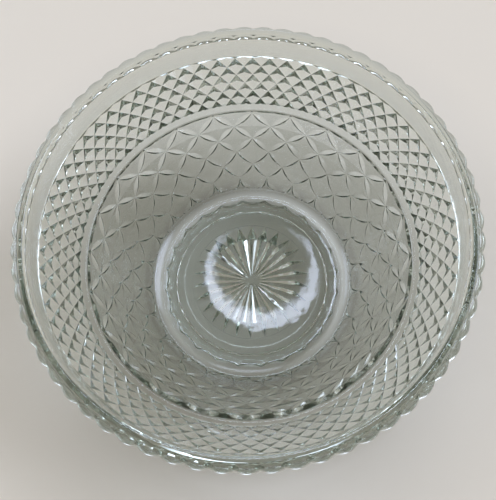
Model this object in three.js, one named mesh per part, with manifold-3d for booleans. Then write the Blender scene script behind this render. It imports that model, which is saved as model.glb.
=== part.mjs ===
// A pressed-glass punch bowl: one piece of clear glass on a low fluted foot.
// Millimetres, +Z up. The bowl stands on z = 0, and its axis is the Z axis.
//
// From the table up, the outside has a fluted foot, a plain cone under the body, a body of
// large diamonds, a plain shoulder, a band of small pointed diamonds, a plain band and a fluted
// rim under a smooth lip. The inside is smooth. A star is cut into the recess under the foot.
import * as THREE from "three";
import { mergeVertices } from "three/addons/utils/BufferGeometryUtils.js";
import Module from "manifold-3d";

const wasm = await Module();
wasm.setup();

// Overall sizes
const rimDiameter = 359; // over the crests of the rim flutes
const height = 165;
const footDiameter = 167; // over the arrises between the foot flutes
const wall = 6; // from the smooth inside to the high points of the outside
const floorThickness = 10; // between the recess under the foot and the inside

// Heights of the outside bands, along the axis. The diamond body takes up what is left.
const lipHeight = 2;
const rimFluteHeight = 9;
const plainBandHeight = 20;
const pointBandHeight = 42;
const shoulderHeight = 2;
const coneHeight = 3;
const footHeight = 7.5;

// Steps in radius from band to band
const rimFluteProud = 6; // crest of a rim flute over the lip
const rimFluteRoll = 2.5; // height over which a flute turns back under its crest
const plainBandFlare = 3;
const pointBandFlare = 22;
const shoulderLedge = 9;
const bandEdge = 0.8; // a plain band stands this much over the diamonds beside it
const bodyBulge = 2.5; // belly of the diamond body over a straight cone
const footStep = 14; // overhang of the body over the foot

// Patterns
const rimFlutes = 64;
const rimFluteHollow = 1.8; // crest of a rim flute over the valley beside it
const pointDiamonds = 68; // in one row
const pointHalfRows = 6;
const pointDepth = 3;
const bodyDiamonds = 24; // in one row
const bodyHalfRows = 6;
const bodyDepth = 1.8;
const footFlutes = 24;
const footFluteDepth = 3.2;

// Underside and inside
const footRing = 11; // width of the ring that the bowl stands on, round the recess
const recessDepth = 4;
const starRays = 26;
const starDiameter = 114;
const starSink = 0.8; // step up from the recess to the round field of the star
const starHub = 3; // radius left plain in the middle of the star
const starShoulder = 42; // radius where the rays are widest and nearly meet
const starDepth = 4.2;
const floorDome = 3; // rise of the inside floor at its middle
const lipRound = 2.2;

// Fineness of the round surfaces
const roundSegments = 64;
const rimFluteSteps = 4;
const footFluteSteps = 6;
const curveSteps = 4;
const domeSteps = 3;
const lipSteps = 2;
const lap = 1; // how far one band's solid runs into the next

// Levels, from the lip down
const fluteTop = height - lipHeight;
const fluteBottom = fluteTop - rimFluteHeight;
const pointTop = fluteBottom - plainBandHeight;
const pointBottom = pointTop - pointBandHeight;
const bodyTop = pointBottom - shoulderHeight;
const bodyBottom = footHeight + coneHeight;
const floorLevel = recessDepth + floorThickness;

// Radii, from the rim in
const rimRadius = rimDiameter / 2;
const lipRadius = rimRadius - rimFluteProud;
const plainRadius = lipRadius - plainBandFlare;
const pointTopRadius = plainRadius - bandEdge;
const pointBottomRadius = pointTopRadius - pointBandFlare;
const bodyTopRadius = pointBottomRadius - shoulderLedge;
const footRadius = footDiameter / 2;
const recessRadius = footRadius - footRing;
const bodyBottomRadius = footRadius + footStep;
const floorRadius = bodyBottomRadius - wall;

// A solid of revolution from an outline of [radius, height] points, both ends on the axis.
// proud(column, row) moves a point of the outline out or in, and crossed(column, row) turns the
// diagonal of the face above and beside that point, so that it follows a groove.
function turned(outline, columns, proud = () => 0, crossed = () => false) {
  const rows = outline.length;
  const lathe = new THREE.LatheGeometry(
    outline.map(([radius, level]) => new THREE.Vector2(radius, level)),
    columns,
  );
  const position = lathe.attributes.position;
  for (let column = 0; column <= columns; column++) {
    const angle = ((column % columns) / columns) * 2 * Math.PI;
    outline.forEach(([radius, level], row) => {
      const out = radius && radius + proud(column % columns, row);
      position.setXYZ(column * rows + row, out * Math.sin(angle), level, out * Math.cos(angle));
    });
  }
  const faces = lathe.index;
  for (let column = 0, face = 0; column < columns; column++) {
    for (let row = 0; row < rows - 1; row++, face += 6) {
      if (!crossed(column, row)) continue;
      const corner = column * rows + row;
      const [a, b, c, d] = [corner, corner + rows, corner + rows + 1, corner + 1];
      [a, b, c, a, c, d].forEach((vertex, at) => faces.setX(face + at, vertex));
    }
  }
  return solidOf(lathe.rotateX(Math.PI / 2));
}

// A closed geometry as a solid that can be joined and cut.
function solidOf(geometry) {
  const shape = new THREE.BufferGeometry()
    .setAttribute("position", geometry.getAttribute("position"))
    .setIndex(geometry.index);
  const merged = mergeVertices(shape);
  return new wasm.Manifold(
    new wasm.Mesh({
      numProp: 3,
      vertProperties: merged.attributes.position.array,
      triVerts: new Uint32Array(merged.index.array),
    }),
  );
}

// A band of pyramids in a diamond lattice, between the points below and above it.
function diamondBand(surface, count, depth) {
  const [, bottom] = surface[0];
  const [, top] = surface[surface.length - 1];
  const groove = (column, row) => (column + row) % 2 === 0;
  return turned(
    [[0, bottom], ...surface, [0, top]],
    2 * count,
    (column, row) => (groove(column, row) ? -depth : 0),
    groove,
  );
}

// The radius of the diamond body's high points at a share of the way up it.
function bodyRadius(share) {
  const belly = 4 * bodyBulge * share * (1 - share);
  return THREE.MathUtils.lerp(bodyBottomRadius, bodyTopRadius, share) + belly;
}

// Points [radius, level] at even steps along a surface from its lower to its upper end.
function evenly(steps, radiusAt, bottom, top) {
  return Array.from({ length: steps + 1 }, (_, step) => {
    const share = step / steps;
    return [radiusAt(share), THREE.MathUtils.lerp(bottom, top, share)];
  });
}

// The outline moved in by the wall, square to itself.
function inset(outline, distance) {
  const square = ([r0, z0], [r1, z1]) => new THREE.Vector2(z0 - z1, r1 - r0).normalize();
  return outline.slice(1, -1).map((point, at) => {
    const below = square(outline[at], point);
    const above = square(point, outline[at + 2]);
    const move = below.clone().add(above).multiplyScalar(distance / (1 + below.dot(above)));
    return [point[0] + move.x, point[1] + move.y];
  });
}

// How far a column lies across its flute: -1 and 1 at the two edges, 0 in the middle.
const acrossFlute = (column, steps) => (2 * (column % steps)) / steps - 1;

function foot() {
  const hollow = (column) => footFluteDepth * (acrossFlute(column, footFluteSteps) ** 2 - 1);
  return turned(
    [[0, 0], [footRadius, 0], [footRadius, bodyBottom], [0, bodyBottom]],
    footFlutes * footFluteSteps,
    hollow,
  );
}

function underbody() {
  const insideFoot = footRadius - footFluteDepth - lap;
  return turned(
    [
      [0, footHeight - lap],
      [insideFoot, footHeight - lap],
      [bodyBottomRadius, bodyBottom],
      [bodyBottomRadius + bandEdge, bodyBottom + lap],
      [0, bodyBottom + lap],
    ],
    roundSegments,
  );
}

function diamondBody() {
  const surface = evenly(bodyHalfRows, bodyRadius, bodyBottom, bodyTop);
  return diamondBand(surface, bodyDiamonds, bodyDepth);
}

function shoulder() {
  return turned(
    [
      [0, bodyTop - lap],
      [bodyTopRadius + bandEdge, bodyTop - lap],
      [bodyTopRadius + 2 * bandEdge, bodyTop],
      [pointBottomRadius + bandEdge, pointBottom],
      [pointBottomRadius + bandEdge, pointBottom + lap],
      [0, pointBottom + lap],
    ],
    roundSegments,
  );
}

function pointBand() {
  const radiusAt = (share) => THREE.MathUtils.lerp(pointBottomRadius, pointTopRadius, share);
  return diamondBand(
    evenly(pointHalfRows, radiusAt, pointBottom, pointTop),
    pointDiamonds,
    pointDepth,
  );
}

function plainBand() {
  return turned(
    [
      [0, pointTop - lap],
      [plainRadius, pointTop - lap],
      [lipRadius, fluteBottom],
      ...lipArc(lipRadius, -1),
      [0, height],
    ],
    2 * roundSegments,
  );
}

// The quarter round of the lip, from its face up to its top: side -1 is the outside, 1 the inside.
function lipArc(radius, side) {
  return Array.from({ length: lipSteps + 1 }, (_, step) => {
    const angle = ((step / lipSteps) * Math.PI) / 2;
    return [
      radius + side * lipRound * (1 - Math.cos(angle)),
      height - lipRound * (1 - Math.sin(angle)),
    ];
  });
}

// The flutes swell from just under the lip to a crest, and turn back under it.
function rimFluting() {
  const bulge = (column, row) => {
    const across = acrossFlute(column + rimFluteSteps / 2, rimFluteSteps);
    return row === 2 || row === 3 ? -rimFluteHollow * across ** 2 : 0;
  };
  const buried = lipRadius - bandEdge;
  const crest = fluteBottom + rimFluteRoll;
  return turned(
    [
      [0, fluteBottom],
      [buried, fluteBottom],
      [rimRadius, crest],
      [lipRadius + rimFluteProud * Math.SQRT1_2, (crest + fluteTop) / 2],
      [buried, fluteTop],
      [0, fluteTop],
    ],
    rimFlutes * rimFluteSteps,
    bulge,
  );
}

// The inside, from the domed floor out to the crease, up the wall and over the lip.
function cavity() {
  const outside = [
    ...evenly(curveSteps, bodyRadius, bodyBottom, bodyTop),
    [pointBottomRadius, pointBottom],
    [plainRadius, pointTop],
    [lipRadius, fluteBottom],
    [lipRadius, height],
  ];
  const dome = Array.from({ length: domeSteps }, (_, step) => {
    const share = step / domeSteps;
    return [share * floorRadius, floorLevel + floorDome * (1 - share ** 2)];
  });
  return turned(
    [
      ...dome,
      [floorRadius, floorLevel],
      ...inset(outside, wall),
      ...lipArc(lipRadius - wall, 1),
      [lipRadius, height + lap],
      [0, height + lap],
    ],
    roundSegments,
  );
}

// The recess under the foot, with the star's round field one step deeper.
function recess() {
  const star = starDiameter / 2;
  return turned(
    [
      [0, -lap],
      [recessRadius, -lap],
      [recessRadius, recessDepth - starSink],
      [star, recessDepth - starSink],
      [star, recessDepth],
      [0, recessDepth],
    ],
    roundSegments,
  );
}

// One V-cut of the star, pointed at both ends, sunk by half into the roof of the recess.
function starRay(turn) {
  const halfWidth = (0.95 * Math.PI * starShoulder) / starRays;
  const ray = new THREE.OctahedronGeometry(1).scale(1, halfWidth, starDepth);
  const ends = { "-1": starHub, 0: starShoulder, 1: starDiameter / 2 };
  const position = ray.attributes.position;
  for (let at = 0; at < position.count; at++) {
    position.setX(at, ends[Math.round(position.getX(at))]);
  }
  return solidOf(ray.translate(0, 0, recessDepth).rotateZ(turn));
}

function bowlGlass() {
  let glass = foot();
  for (const band of [underbody, diamondBody, shoulder, pointBand, plainBand, rimFluting]) {
    glass = glass.add(band());
  }
  glass = glass.subtract(cavity()).subtract(recess());
  for (let ray = 0; ray < starRays; ray++) {
    glass = glass.subtract(starRay((ray / starRays) * 2 * Math.PI));
  }
  return glass;
}

function geometryOf(solid) {
  const mesh = solid.getMesh();
  return new THREE.BufferGeometry()
    .setAttribute("position", new THREE.BufferAttribute(mesh.vertProperties, 3))
    .setIndex(new THREE.BufferAttribute(mesh.triVerts, 1));
}

const clearGlass = new THREE.MeshStandardMaterial({
  color: "#c9cfc6",
  roughness: 0.05,
  metalness: 0,
  transparent: true,
  opacity: 0.4,
});

const bowl = new THREE.Mesh(geometryOf(bowlGlass()), clearGlass);
bowl.name = "bowl";

const punchBowl = new THREE.Group();
punchBowl.add(bowl);

export default punchBowl;
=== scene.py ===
# %% [markdown]
# # A pressed-glass punch bowl
# The bowl is one piece of clear glass, pressed in a mould. The mould cut the patterns on the
# outside, and a plain plunger left the inside smooth. The lesson builds it band by band with mesh
# operators, joins the bands into one closed skin, and gives that skin a glass material. The solid
# model of the bowl, made before this one, sets its size and its place.

import math

import bmesh
import bpy
from mathutils import Matrix, Vector


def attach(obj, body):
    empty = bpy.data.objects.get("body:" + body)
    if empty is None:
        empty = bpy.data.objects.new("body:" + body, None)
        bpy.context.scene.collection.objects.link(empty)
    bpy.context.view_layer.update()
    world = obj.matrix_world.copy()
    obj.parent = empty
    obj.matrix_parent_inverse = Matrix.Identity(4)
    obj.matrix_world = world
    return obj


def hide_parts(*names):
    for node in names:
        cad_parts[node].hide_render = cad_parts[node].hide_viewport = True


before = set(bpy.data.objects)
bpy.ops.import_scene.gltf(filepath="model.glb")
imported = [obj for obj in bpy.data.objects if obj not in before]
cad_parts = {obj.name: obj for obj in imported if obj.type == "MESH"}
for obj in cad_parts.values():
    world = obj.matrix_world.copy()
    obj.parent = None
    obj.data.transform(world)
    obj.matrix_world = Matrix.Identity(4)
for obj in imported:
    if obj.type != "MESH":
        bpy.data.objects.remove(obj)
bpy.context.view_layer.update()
print("CAD nodes:", sorted(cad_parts))

# %% [markdown]
# ## How the bands are made
# Sizes are written in millimetres, as on a drawing, and a scale turns them into metres. Each band
# is a line of (radius, height) points that stands at the front of the bowl and is spun a full
# turn. Spinning is the mesh form of turning on a lathe, so every band is round and closes on
# itself without a seam.

# %% A line of points, and a band spun from it
MM = 0.001


def line(mesh, points, turn=0.0):
    """A line of (radius, height) points, turned from the front of the bowl."""
    side, front = math.sin(turn), -math.cos(turn)
    verts = [mesh.verts.new((r * side * MM, r * front * MM, z * MM)) for r, z in points]
    return verts + [mesh.edges.new(pair) for pair in zip(verts, verts[1:])]


def spun(points, steps, turn=0.0):
    """A new mesh: the line spun a full turn about the bowl's axis."""
    band = bmesh.new()
    bmesh.ops.spin(band, geom=line(band, points, turn), cent=(0, 0, 0), axis=(0, 0, 1),
                   angle=2 * math.pi, steps=steps, use_merge=True, use_duplicate=False)
    bmesh.ops.remove_doubles(band, verts=band.verts, dist=1e-6)
    return band


def tell(name, mesh):
    """Prints how big a mesh has become."""
    print(f"{name}: {len(mesh.verts)} vertices, {len(mesh.faces)} faces")


# %% Places on the bowl
def radius(vert):
    """Distance of a vertex from the axis, in millimetres."""
    return math.hypot(vert.co.x, vert.co.y) / MM


def level(vert):
    """Height of a vertex, in millimetres."""
    return vert.co.z / MM


def to_radius(vert, millimetres):
    """Moves a vertex out or in along its own radius."""
    scale = millimetres * MM / math.hypot(vert.co.x, vert.co.y)
    vert.co.x *= scale
    vert.co.y *= scale


def mix(a, b, share):
    """The value a share of the way from a to b."""
    return a + (b - a) * share


# %% [markdown]
# ## The diamond lattice
# Both patterned bands are diamonds that meet corner to corner. Drawing them one by one is slow,
# so the lattice is made out of a plain grid: poke puts a point in the middle of each square with
# an edge to each corner, and dissolving the grid's own edges leaves the slanting ones. What is
# left is a net of diamonds, with half diamonds along both borders.

# %% Make a net of diamonds on a band
def diamonds(count, rows, radius_at, bottom, top):
    """A band of diamonds; radius_at gives the radius for a share of the way up."""
    points = [(radius_at(i / rows), mix(bottom, top, i / rows)) for i in range(rows + 1)]
    band = spun(points, count, turn=math.pi / count)
    grid = [edge for edge in band.edges if not edge.is_boundary]
    bmesh.ops.poke(band, faces=band.faces[:], offset=0, center_mode="MEAN")
    bmesh.ops.dissolve_edges(band, edges=grid, use_verts=False)
    onto(band, radius_at, bottom, top)
    return band


def onto(band, radius_at, bottom, top):
    """Moves every vertex of a band onto its surface of revolution."""
    for vert in band.verts:
        to_radius(vert, radius_at((level(vert) - bottom) / (top - bottom)))


# %% [markdown]
# ## The band of small points
# Under the plain band of the rim lie rows of small four-sided points, 68 in a row. Each diamond
# of the net is poked, and the new point stands out from the four grooves round it. A real mould
# can't press a needle point, so a small bevel of the points alone makes them blunt.

# %% Small points
POINT_BOTTOM, POINT_TOP = 92, 134
POINT_DEPTH = 3
POINT_BLUNT = 0.5


def point_crest(share):
    """Radius over the tips, for a share of the way up the band."""
    return mix(147.7, 169.7, share)


def point_groove(share):
    """Radius at the bottom of the grooves."""
    return point_crest(share) - POINT_DEPTH


points_band = diamonds(68, 3, point_groove, POINT_BOTTOM, POINT_TOP)
tell("net of small diamonds", points_band)

# %% Raise the points, and blunt them
# A half point on the border gets its crest in the middle of the border, tied to its far corner.
border = [edge for edge in points_band.edges if edge.is_boundary]
halves = bmesh.ops.subdivide_edges(points_band, edges=border, cuts=1)["geom_inner"]
halves = [item for item in halves if isinstance(item, bmesh.types.BMVert)]
for vert in halves:
    corners = vert.link_faces[0].verts
    tip = max(corners, key=lambda corner: abs(corner.co.z - vert.co.z))
    bmesh.ops.connect_vert_pair(points_band, verts=[vert, tip])
whole = [face for face in points_band.faces if len(face.verts) == 4]
tips = bmesh.ops.poke(points_band, faces=whole, offset=0, center_mode="MEAN")["verts"]
for vert in tips + halves:
    to_radius(vert, point_crest((level(vert) - POINT_BOTTOM) / (POINT_TOP - POINT_BOTTOM)))
bmesh.ops.bevel(points_band, geom=tips, offset=POINT_BLUNT * MM, offset_type="OFFSET",
                affect="VERTICES", segments=1, profile=0.5, material=-1)
tell("small points", points_band)

# %% [markdown]
# ## The large diamonds
# The body has 24 large flat diamonds in a row. Between each two neighbours the mould has a
# leaf-shaped V-cut: it starts as nothing where four corners meet, is widest half way along, and
# closes again at the next corner. Each edge of the net is split into short steps, each diamond is
# inset so that it keeps a border of its own, and then the border's width and the depth of the
# shared edge both follow one leaf curve.

# %% Net of large diamonds, with the leaf curve stored on it
BODY_BOTTOM, BODY_TOP = 10.5, 90
BODY_COUNT = 24
BODY_BELLY = 2.5  # how far the body swells out of a plain cone, half way up


def body_radius(share):
    """Radius of the body for a share of the way up."""
    belly = 4 * BODY_BELLY * share * (1 - share)
    return mix(97.5, 138.7, share) + belly


body = diamonds(BODY_COUNT, 3, body_radius, BODY_BOTTOM, BODY_TOP)
corner_share = body.verts.layers.float.new("corner_share")
for vert in body.verts:
    vert[corner_share] = 1
middles = bmesh.ops.subdivide_edges(body, edges=body.edges[:], cuts=1)["geom_inner"]
for vert in middles:
    if isinstance(vert, bmesh.types.BMVert):
        vert[corner_share] = 0
bmesh.ops.subdivide_edges(body, edges=body.edges[:], cuts=3)
onto(body, body_radius, BODY_BOTTOM, BODY_TOP)
tell("net of large diamonds", body)

# %% Round the lowest row into scallops
ROW = (BODY_TOP - BODY_BOTTOM) / 6
SCALLOP_FOOT = 0.12  # how far above the lower border a scallop ends, as a share of a row


def across(vert, count, offset=0.0):
    """-1 to 1 across one of count equal parts round the bowl, 0 in its middle."""
    turn = math.atan2(vert.co.x, -vert.co.y) / (2 * math.pi) * count + offset
    return 2 * (turn - math.floor(turn)) - 1


for vert in body.verts:
    rows_up = (level(vert) - BODY_BOTTOM) / ROW
    if 1e-4 < rows_up < 0.999 or (rows_up <= 1e-4 and abs(across(vert, BODY_COUNT)) < 1e-4):
        if not vert.is_boundary:
            drop = math.sqrt(max(0, 1 - across(vert, BODY_COUNT) ** 2))
            vert.co.z = (BODY_BOTTOM + ROW * (1 - (1 - SCALLOP_FOOT) * drop)) * MM
onto(body, body_radius, BODY_BOTTOM, BODY_TOP)
print("scallops:", BODY_COUNT, "round the foot of the body")

# %% Cut the leaves
LEAF_WIDTH = 2.8  # from the bottom of a cut to its edge, half way along
LEAF_DEPTH = 2.5
LEAF_TIP = 0.12  # half the width that is left where four corners meet
SIDES = 32  # edges round a whole diamond; the half ones along the borders have fewer


def leaf(vert):
    """The leaf curve: 1 half way along a cut, and 0 at its two ends."""
    return math.sin(math.pi / 2 * (1 - vert[corner_share]))


# The first inset is narrow and even, and only gives each flat a border of its own.
body.normal_update()
flats = body.faces[:]
bmesh.ops.inset_individual(body, faces=flats, thickness=0.3 * MM, depth=0, use_even_offset=False)
flat_verts = {vert for face in flats for vert in face.verts}
shared = [vert for vert in body.verts if vert not in flat_verts]
for vert in flat_verts:
    bottom = next(edge.other_vert(vert) for edge in vert.link_edges
                  if edge.other_vert(vert) not in flat_verts)
    away = (vert.co - bottom.co).normalized()
    vert.co = bottom.co + away * (LEAF_TIP + LEAF_WIDTH * leaf(bottom)) * MM
onto(body, body_radius, BODY_BOTTOM, BODY_TOP)
for vert in shared:
    if not vert.is_boundary:
        to_radius(vert, radius(vert) - LEAF_DEPTH * leaf(vert))
whole = [face for face in flats if len(face.verts) == SIDES]
bmesh.ops.poke(body, faces=whole, offset=0, center_mode="MEAN")
tell("leaf cuts", body)

# %% [markdown]
# ## The foot
# The bowl stands on a low ring with 24 shallow flutes. The flutes are hollow, so each is pushed
# in most at its middle and leaves a fine arris to the next. Cutting 24 cylinders out of a plain
# ring would do it too, but moving the points of a spun ring keeps its columns in line. The same
# line carries on inwards over the rest face, up the side of the recess and in to the step of the
# star's round field.

# %% Spin the foot and hollow its flutes
FOOT_RADIUS, FOOT_HEIGHT, FLUTE_DEPTH = 83.5, 7.5, 3.2
RECESS_RADIUS, RECESS_ROOF, STAR_ROOF = 72.5, 3.2, 4.0
STAR_RADIUS = 57

foot = spun(
    [(STAR_RADIUS, STAR_ROOF), (STAR_RADIUS, RECESS_ROOF), (64, RECESS_ROOF),
     (RECESS_RADIUS, RECESS_ROOF), (RECESS_RADIUS, 0), (FOOT_RADIUS, 0),
     (FOOT_RADIUS, FOOT_HEIGHT / 2), (FOOT_RADIUS, FOOT_HEIGHT), (90, 8.7), (94, 9.5)],
    8 * BODY_COUNT,
)
for vert in foot.verts:
    if abs(radius(vert) - FOOT_RADIUS) < 0.01:
        to_radius(vert, FOOT_RADIUS + FLUTE_DEPTH * (across(vert, BODY_COUNT) ** 2 - 1))
tell("foot", foot)

# %% Ease the foot's edges
def rings(mesh, places, near=0.3):
    """The edges that run round the bowl at the given (radius, height) places."""
    def at(vert, place):
        return math.hypot(radius(vert) - place[0], level(vert) - place[1]) < near
    return [edge for edge in mesh.edges
            if any(all(at(vert, place) for vert in edge.verts) for place in places)]


def ease(mesh, edges, millimetres, segments=2):
    """Rounds edges over."""
    bmesh.ops.bevel(mesh, geom=edges, offset=millimetres * MM, offset_type="OFFSET",
                    affect="EDGES", segments=segments, profile=0.5, material=-1)


ease(foot, rings(foot, [(RECESS_RADIUS, RECESS_ROOF), (RECESS_RADIUS, 0)]), 1.4, 3)
ease(foot, rings(foot, [(STAR_RADIUS, RECESS_ROOF)]), 0.25)
for height, rounding in ((0, 1.2), (FOOT_HEIGHT, 1.8)):
    wavy = rings(foot, [(FOOT_RADIUS - FLUTE_DEPTH / 2, height)], FLUTE_DEPTH / 2 + 0.1)
    ease(foot, wavy, rounding, 3)
tell("foot with eased edges", foot)

# %% [markdown]
# ## The star
# A star of 26 V-cuts is pressed into the roof of the recess. Wedges taken away with Boolean would
# leave slivers where they all meet in the middle. A disc of 52 slices gives it all without them:
# every other point of its rim is lifted into the glass, which makes the cuts and the sharp ridges
# between them. The rim is then drawn out to the edge of the round field, so each cut runs out to
# a point and flat land is left between the tips.

# %% Make the star
RAYS = 26
HUB, STAR_SHOULDER, STAR_TIPS, STAR_DEPTH = 2.5, 42, 56.4, 4.2

star = bmesh.new()
bmesh.ops.create_circle(star, cap_ends=True, cap_tris=True, segments=2 * RAYS, radius=HUB * MM,
                        matrix=Matrix.Translation((0, 0, STAR_ROOF * MM)))


def draw_out(mesh, to, height=None):
    """Extrudes the open border to a radius, and to a height when one is given."""
    border = [edge for edge in mesh.edges if edge.is_boundary]
    made = bmesh.ops.extrude_edge_only(mesh, edges=border)["geom"]
    verts = [item for item in made if isinstance(item, bmesh.types.BMVert)]
    for vert in verts:
        to_radius(vert, to)
        if height is not None:
            vert.co.z = height * MM
    return verts


def in_ray(vert):
    """True for the points on the middle line of a ray; the first ray points to the side."""
    turn = math.atan2(vert.co.y, vert.co.x) / (2 * math.pi) * RAYS
    return abs(turn - round(turn)) < 0.1


for vert in draw_out(star, STAR_SHOULDER):
    if in_ray(vert):
        vert.co.z += STAR_DEPTH * MM
draw_out(star, STAR_TIPS, STAR_ROOF)
for face in star.faces[:]:
    tips = [vert for vert in face.verts if radius(vert) > STAR_TIPS - 1 and in_ray(vert)]
    ridges = [vert for vert in face.verts
              if abs(radius(vert) - STAR_SHOULDER) < 1 and not in_ray(vert)]
    if tips and ridges:
        bmesh.ops.connect_vert_pair(star, verts=[tips[0], ridges[0]])
tell("star", star)

# %% [markdown]
# ## Shoulder, plain band and rim
# Between the patterns run plain rounded bands. The rim is a row of 64 flutes that swell outwards,
# each a soft cushion with a crease to the next. The crease follows a curve that is zero at the top
# and the bottom of the flute, so the row grows out of the plain band and dies into the lip. One
# flute could be modelled and repeated with Array, but its ends would then have to be joined.

# %% Shoulder and plain band
PLAIN_STEPS = 136  # twice the 68 small points, which both bands meet

shoulder = spun([(139.6, 90.7), (141.4, 90.9), (144, 90.9), (146.2, 91), (147.8, 91.4),
                 (148.6, 92)], PLAIN_STEPS)
plain_band = spun([(170.5, 134), (170.9, 134.6), (172.2, 144), (173.3, 152.6)], PLAIN_STEPS)
tell("shoulder", shoulder)
tell("plain band", plain_band)

# %% Fluted rim
RIM_COUNT, FLUTE_HOLLOW = 64, 2.3
RIM_BOTTOM, RIM_TOP = 153.6, 163.2

rim = spun([(173.5, RIM_BOTTOM), (176.2, 153.9), (178.2, 154.6), (179.3, 155.8), (179.5, 157.2),
            (179.1, 158.8), (178.1, 160.4), (176.6, 161.8), (174.9, 162.8), (173.6, RIM_TOP)],
           8 * RIM_COUNT)
for vert in rim.verts:
    swell = max(0, math.sin(math.pi * (level(vert) - RIM_BOTTOM) / (RIM_TOP - RIM_BOTTOM))) ** 0.5
    hollow = FLUTE_HOLLOW * swell * across(vert, RIM_COUNT, 0.5) ** 2
    to_radius(vert, radius(vert) - hollow)
tell("fluted rim", rim)

# %% [markdown]
# ## Lip and inside
# The inside is plain: a rounded lip, a wall that follows the outside 6 mm away, a wide bend where
# the wall meets the floor, and a floor that rises a little to its middle. It could be a copy of the
# outside moved in by Solidify, but that would print the pattern on the inside too. A plunger leaves
# it smooth, so the inside is a spun line of its own, worked out from a plain outline.

# %% Wall line, inset from the outside
WALL = 6
FLOOR_RADIUS, FLOOR_LEVEL, FLOOR_DOME = 91.5, 14, 3
FLOOR_BEND, FLOOR_BEND_STEPS = 10, 8
INSIDE_STEPS = 192


def inset(outline, distance):
    """The outline moved in, square to itself, without its two ends."""
    moved = []
    for before, here, after in zip(outline, outline[1:], outline[2:]):
        run = (Vector(after) - Vector(before)).normalized()
        moved.append((here[0] - distance * run.y, here[1] + distance * run.x))
    return moved


outside = [(body_radius(i / 12), mix(BODY_BOTTOM, BODY_TOP, i / 12)) for i in range(13)]
outside += [(147.7, 92), (158.7, 113), (170.2, 134), (172, 144), (173.5, 154), (173.5, 163)]
wall_line = [point for point in inset(outside, WALL) if point[1] > FLOOR_LEVEL + 15]
lip = [(173.4, 163.7), (172.9, 164.5), (172.1, 164.9), (171.2, 165), (169.8, 165),
       (168.9, 164.9), (168.1, 164.5), (167.6, 163.7), (167.5, 162.6)]
# The last piece of the floor is twice as long, to leave room for the bend.
dome = [(FLOOR_RADIUS * i / 12, FLOOR_LEVEL + FLOOR_DOME * (1 - (i / 12) ** 2))
        for i in (*range(11), 12)]
inside = spun(lip + wall_line[::-1] + dome[::-1], INSIDE_STEPS)
ease(inside, rings(inside, [(FLOOR_RADIUS, FLOOR_LEVEL)]), FLOOR_BEND, FLOOR_BEND_STEPS)
tell("lip and inside", inside)

# %% [markdown]
# ## One closed skin
# Glass bends light at every surface, so walls must not be left inside it. The bands are therefore
# put in one mesh, and each open border is bridged to the next band's. The bridges lie on plain
# parts, where a change from, say, 136 to 192 points round the bowl can't be seen.

# %% Put the bands together
def join(mesh, band):
    """Adds a band to a mesh and frees it."""
    passing = bpy.data.meshes.new("passing")
    band.to_mesh(passing)
    band.free()
    mesh.from_mesh(passing)
    bpy.data.meshes.remove(passing)


glass = bmesh.new()
for band in (star, foot, body, shoulder, points_band, plain_band, rim, inside):
    join(glass, band)
tell("loose bands", glass)


# %% Bridge each border to the next
def reach(vert):
    """Radius and height added up. They grow from the star to the lip, and so tell borders apart."""
    return radius(vert) + level(vert)


GAPS = {"star to foot": (59, 62), "foot to body": (102, 110), "body to shoulder": (228, 231),
        "shoulder to points": (236, 241), "points to plain band": (299, 305),
        "plain band to rim": (325, 328), "rim to lip": (336, 338)}
for name, (low, high) in GAPS.items():
    gap = [edge for edge in glass.edges
           if edge.is_boundary and all(low < reach(vert) < high for vert in edge.verts)]
    made = bmesh.ops.bridge_loops(glass, edges=gap)["faces"]
    print(f"{name}: {len(gap)} border edges, {len(made)} faces")

# %% Turn the skin outwards and test that it is closed
bmesh.ops.recalc_face_normals(glass, faces=glass.faces)
open_edges = [edge for edge in glass.edges if len(edge.link_faces) != 2]
print("open edges:", len(open_edges), " volume, ml:", round(glass.calc_volume(signed=True) * 1e6))
tell("skin", glass)

# %% Make the piece, with crisp cuts and smooth bands
CREASE = math.radians(16)
bmesh.ops.triangulate(glass, faces=glass.faces)
for face in glass.faces:
    face.smooth = True
for edge in glass.edges:
    edge.smooth = edge.calc_face_angle() < CREASE
skin = bpy.data.meshes.new("bowl_glass")
glass.to_mesh(skin)
glass.free()
bowl = bpy.data.objects.new("bowl_glass", skin)
bpy.context.scene.collection.objects.link(bowl)
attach(bowl, "root")
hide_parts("bowl")
print("piece:", bowl.name, "with", len(skin.polygons), "triangles")

# %% [markdown]
# ## Clear pressed glass
# Old pressed glass is soda-lime glass with a grey-green cast that deepens where the light has a
# long way through it, so the cast sits in the volume and not on the surface. The surface isn't as
# flat as that of cut glass. The mould leaves slow ripples, about 9 mm apart, which a bump of a
# coarse noise gives. Years of use leave fine scuffs, about 1 mm apart and drawn out upwards, which
# a fine noise on the roughness gives. The IOR of 1.52 is what draws each cut: light that meets a
# facet too flat is thrown back, so the facet turns bright or dark.

# %% Colours and nodes
def srgb(code):
    """A hex colour as the linear colour that shaders use."""
    parts = [int(code[i:i + 2], 16) / 255 for i in (1, 3, 5)]
    return [p / 12.92 if p <= 0.04045 else ((p + 0.055) / 1.055) ** 2.4 for p in parts] + [1]


def node(tree, kind, inputs=None, **settings):
    """Adds a node. Each input is linked when its value is another node's output, or set to it."""
    made = tree.nodes.new(kind)
    for name, value in settings.items():
        setattr(made, name, value)
    for name, value in (inputs or {}).items():
        if isinstance(value, bpy.types.NodeSocket):
            tree.links.new(value, made.inputs[name])
        else:
            made.inputs[name].default_value = value
    return made


def new_material(name):
    """A material with nothing but an output node."""
    made = bpy.data.materials.new(name)
    made.use_nodes = True
    made.node_tree.nodes.clear()
    return made, made.node_tree


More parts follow.
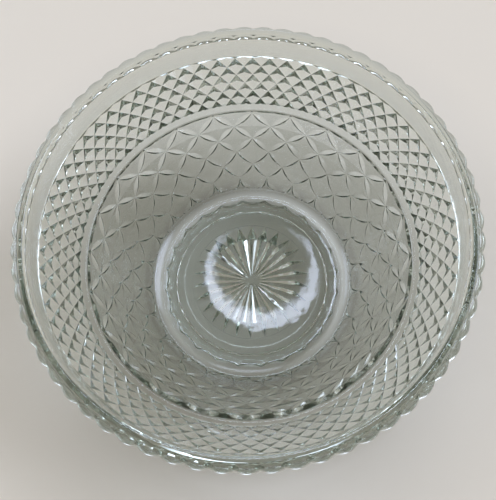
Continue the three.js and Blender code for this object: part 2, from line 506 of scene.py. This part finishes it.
# %% Glass
clear_glass, tree = new_material("clear pressed glass")
place = node(tree, "ShaderNodeTexCoord").outputs["Object"]
ripple = node(tree, "ShaderNodeTexNoise", {"Vector": place, "Scale": 110, "Detail": 1})
stretch = node(tree, "ShaderNodeMapping", {"Vector": place, "Scale": (1, 1, 0.15)})
scuff = node(tree, "ShaderNodeTexNoise",
             {"Vector": stretch.outputs["Vector"], "Scale": 900, "Detail": 3})
wear = node(tree, "ShaderNodeMapRange", {"Value": scuff.outputs["Fac"], "From Min": 0.45,
                                         "From Max": 0.75, "To Min": 0.0, "To Max": 0.05})
waves = node(tree, "ShaderNodeBump",
             {"Height": ripple.outputs["Fac"], "Strength": 0.1, "Distance": 0.0005})
surface = node(tree, "ShaderNodeBsdfPrincipled",
               {"Base Color": srgb("#f6f8f5"), "IOR": 1.52, "Transmission Weight": 1,
                "Roughness": wear.outputs["Result"], "Normal": waves.outputs["Normal"]})
tint = node(tree, "ShaderNodeVolumeAbsorption", {"Color": srgb("#c4cdc1"), "Density": 27})
node(tree, "ShaderNodeOutputMaterial",
     {"Surface": surface.outputs["BSDF"], "Volume": tint.outputs["Volume"]})
skin.materials.append(clear_glass)
print("material:", clear_glass.name, "with", len(tree.nodes), "nodes")

# %% [markdown]
# ## Floor
# Clear glass shows what lies behind it, so the floor is part of the look. It is one pale disc,
# wide enough to reach past the bowl in every view. Light that passes a glass bowl leaves a soft
# shade under the walls and a paler spot under the foot. A short render finds little of that light,
# so that shade and light are painted into the floor's colour by a colour ramp on the distance from
# the axis: painted light under the foot, a painted dark ring of shade round it, painted shade under
# the walls, and the floor's own pale colour past the bowl.

# %% Pale floor, with painted shade and light under the bowl
FLOOR_SIZE = 3000
FLOOR_GAP = 0.3  # a hair of air under the foot, so that the two faces don't coincide

floor_mesh = bpy.data.meshes.new("floor")
ground = bmesh.new()
bmesh.ops.create_circle(ground, cap_ends=True, segments=128, radius=FLOOR_SIZE * MM,
                        matrix=Matrix.Translation((0, 0, -FLOOR_GAP * MM)))
ground.to_mesh(floor_mesh)
ground.free()
floor = bpy.data.objects.new("floor", floor_mesh)
bpy.context.scene.collection.objects.link(floor)
pale, tree = new_material("pale floor with painted shade and light")
place = node(tree, "ShaderNodeTexCoord").outputs["Object"]
away = node(tree, "ShaderNodeVectorMath", {0: place}, operation="LENGTH").outputs["Value"]
painted_shade_and_light = node(tree, "ShaderNodeValToRGB", {"Fac": away})
# Painted light: the pale spot under the foot stands in for light that comes through the glass. Past
# the bowl the floor keeps its own pale colour.
PAINTED_LIGHT_UNDER_FOOT, PAST_BOWL = srgb("#f7f2e8"), srgb("#e6dccb")
painted_shade_and_light.color_ramp.elements[0].color = PAINTED_LIGHT_UNDER_FOOT
painted_shade_and_light.color_ramp.elements[-1].color = PAST_BOWL
# Painted shade: a dark ring round the foot and a darker band under the walls, easing back to the
# pale floor past the rim.
for metres_out, colour in ((0.09, PAINTED_LIGHT_UNDER_FOOT), (0.102, srgb("#a8a193")), (0.112, srgb("#b9b2a2")),
                           (0.165, srgb("#b9b2a2")), (0.19, srgb("#d8d1c3")), (0.32, PAST_BOWL)):
    painted_shade_and_light.color_ramp.elements.new(metres_out).color = colour
surface = node(tree, "ShaderNodeBsdfPrincipled",
               {"Base Color": painted_shade_and_light.outputs["Color"], "Roughness": 0.9})
node(tree, "ShaderNodeOutputMaterial", {"Surface": surface.outputs["BSDF"]})
floor_mesh.materials.append(pale)
print("floor:", FLOOR_SIZE, "mm out from the axis")

# %% [markdown]
# ## Light
# Lamps would leave small hard dots on every facet. A pressed-glass pattern is drawn by broad light
# against dark, so all the lamp light comes from the sky: a soft one that is darker near the horizon,
# with a few round patches like windows. Only the light and shade painted into the floor come from
# elsewhere. A patch taken away from a wider one leaves a ring, which lies on the floor of the bowl
# as a bright sheen round the star.

# %% Soft sky
world = bpy.data.worlds.new("soft sky")
world.use_nodes = True
tree = world.node_tree
tree.nodes.clear()
toward = node(tree, "ShaderNodeTexCoord").outputs["Generated"]
height_up = node(tree, "ShaderNodeSeparateXYZ", {"Vector": toward}).outputs["Z"]
brightness = node(tree, "ShaderNodeMapRange",
                  {"Value": height_up, "From Min": -0.1, "From Max": 0.9, "To Min": 0.28,
                   "To Max": 0.42}, interpolation_type="SMOOTHSTEP").outputs["Result"]


def patch(direction, inner, outer, strength):
    """Adds a round patch to the sky: full out to one angle from a direction, gone at the other."""
    axis = Vector(direction).normalized()
    along = node(tree, "ShaderNodeVectorMath", {0: toward, 1: axis}, operation="DOT_PRODUCT")
    soft = node(tree, "ShaderNodeMapRange",
                {"Value": along.outputs["Value"], "From Min": math.cos(math.radians(outer)),
                 "From Max": math.cos(math.radians(inner)), "To Max": strength},
                interpolation_type="SMOOTHSTEP")
    return node(tree, "ShaderNodeMath", {0: brightness, 1: soft.outputs[0]}).outputs[0]


# %% Patches in the sky
PATCHES = {
    "bright side of the bend": ((0.74, 0.12, 0.66), 11, 24, 7),
    "glints on the rim": ((-0.8, 0.35, 0.5), 8, 18, 4),
    "line along the near lip": ((0.1, 0.85, 0.5), 8, 16, 4),
    "sheen on the floor": ((0.0325, 0.3088, 1), 8.8, 9.6, 12),
    "dark middle of the sheen": ((0.0363, 0.3377, 1), 7.2, 8.6, -12),
}
for direction, inner, outer, strength in PATCHES.values():
    brightness = patch(direction, inner, outer, strength)
print("patches:", ", ".join(PATCHES))

# %% Colour of the sky
# Warm and dim where it is plain, cool where it is bright.
lit = node(tree, "ShaderNodeMath", {0: brightness, 1: 0}, operation="MAXIMUM").outputs[0]
hue = node(tree, "ShaderNodeValToRGB", {"Fac": lit})
hue.color_ramp.elements[0].position = 0.66
hue.color_ramp.elements[0].color = srgb("#faf4e8")
hue.color_ramp.elements[1].color = srgb("#dce6fc")
sky = node(tree, "ShaderNodeBackground", {"Strength": lit, "Color": hue.outputs["Color"]})
node(tree, "ShaderNodeOutputWorld", {"Surface": sky.outputs["Background"]})
bpy.context.scene.world = world
print("sky:", len(tree.nodes), "nodes")

# %% [markdown]
# ## Camera
# The camera stands over the near edge of the bowl and looks down and a little forward, so the star,
# the inside and the far wall all show. A small roll turns it the way a hand-held camera hangs.

# %% Camera
camera = bpy.data.cameras.new("camera")
camera.lens, camera.sensor_width = 47.5, 36
viewer = bpy.data.objects.new("camera", camera)
bpy.context.scene.collection.objects.link(viewer)
bpy.context.scene.camera = viewer
ahead = Vector((0, 0.3273, -0.9449)).normalized()
side = Vector((1, 0, 0))
roll = Matrix.Rotation(math.radians(6.5), 3, ahead)
axes = [roll @ side, roll @ side.cross(ahead), -ahead]
viewer.matrix_world = Matrix(axes).transposed().to_4x4()
viewer.matrix_world.translation = (0, -0.182, 0.625)
print("camera height:", viewer.matrix_world.translation.z)

# %% [markdown]
# ## Light through many walls
# A ray can cross the near wall, the floor and the far wall, and be thrown back inside each of them.
# A ray that runs out of bounces turns black, so the limits are raised. The Standard view keeps the
# tones as they are, where a film-like one would flatten the pale glass.

# %% Let light cross many walls of glass
BOUNCES, MIRROR_BOUNCES = 20, 14

bpy.context.scene.view_settings.view_transform = "Standard"
cycles = bpy.context.scene.cycles
cycles.max_bounces = cycles.transmission_bounces = BOUNCES
cycles.glossy_bounces = MIRROR_BOUNCES
print("bounces:", cycles.max_bounces)
